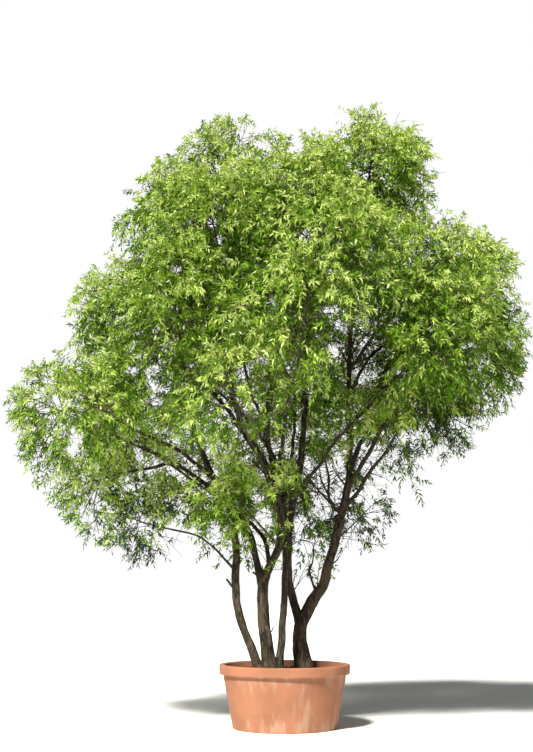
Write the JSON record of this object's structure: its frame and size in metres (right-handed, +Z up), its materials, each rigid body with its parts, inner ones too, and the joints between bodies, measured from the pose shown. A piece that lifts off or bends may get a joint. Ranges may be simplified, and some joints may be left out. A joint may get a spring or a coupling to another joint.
{
  "type": "potted willow tree",
  "caption": "Many-stemmed willow tree in a plain round clay pot, with slender leaning stems, spreading boughs and a broad airy crown of narrow leaves.",
  "frame": {"origin": "centre of the pot's flat underside, on the surface that the pot stands on", "axes": "+Z up, +X to the right and +Y away from the viewer, as the tree is seen from the front"},
  "size_m": [6.2332, 5.0352, 7.413],
  "materials": {
    "clay": "matte",
    "earth": "matte",
    "bark": "matte",
    "leaves": "satin"
  },
  "bodies": {
    "root": {"pot": "clay", "soil": "earth", "stem_back": "bark", "stem_centre": "bark", "stem_left": "bark", "stem_right": "bark", "stem_slim": "bark", "bough_droop": "bark", "bough_lower_front": "bark", "bough_lower_left": "bark", "bough_lower_left_back": "bark", "bough_lower_left_front": "bark", "bough_lower_right": "bark", "bough_middle_back": "bark", "bough_middle_front": "bark", "bough_middle_left": "bark", "bough_middle_left_back": "bark", "bough_middle_right": "bark", "bough_middle_right_back": "bark", "bough_middle_right_front": "bark", "bough_skirt_outer": "bark", "bough_upper_back": "bark", "bough_upper_front": "bark", "bough_upper_left": "bark", "bough_upper_left_back": "bark", "bough_upper_left_front": "bark", "bough_upper_right": "bark", "bough_upper_right_back": "bark", "bough_upper_right_front": "bark", "foliage_droop": "leaves", "foliage_low_right": "leaves", "foliage_lower_front": "leaves", "foliage_lower_left": "leaves", "foliage_lower_left_back": "leaves", "foliage_lower_left_front": "leaves", "foliage_lower_right": "leaves", "foliage_middle_back": "leaves", "foliage_middle_front": "leaves", "foliage_middle_left": "leaves", "foliage_middle_left_back": "leaves", "foliage_middle_left_front": "leaves", "foliage_middle_right": "leaves", "foliage_middle_right_back": "leaves", "foliage_middle_right_front": "leaves", "foliage_skirt_inner": "leaves", "foliage_skirt_outer": "leaves", "foliage_spray_back": "leaves", "foliage_spray_front": "leaves", "foliage_top_back": "leaves", "foliage_top_front": "leaves", "foliage_top_left": "leaves", "foliage_top_right": "leaves", "foliage_upper_back": "leaves", "foliage_upper_front": "leaves", "foliage_upper_left": "leaves", "foliage_upper_left_back": "leaves", "foliage_upper_left_front": "leaves", "foliage_upper_right": "leaves", "foliage_upper_right_back": "leaves", "foliage_upper_right_front": "leaves"}
  },
  "joints": []
}
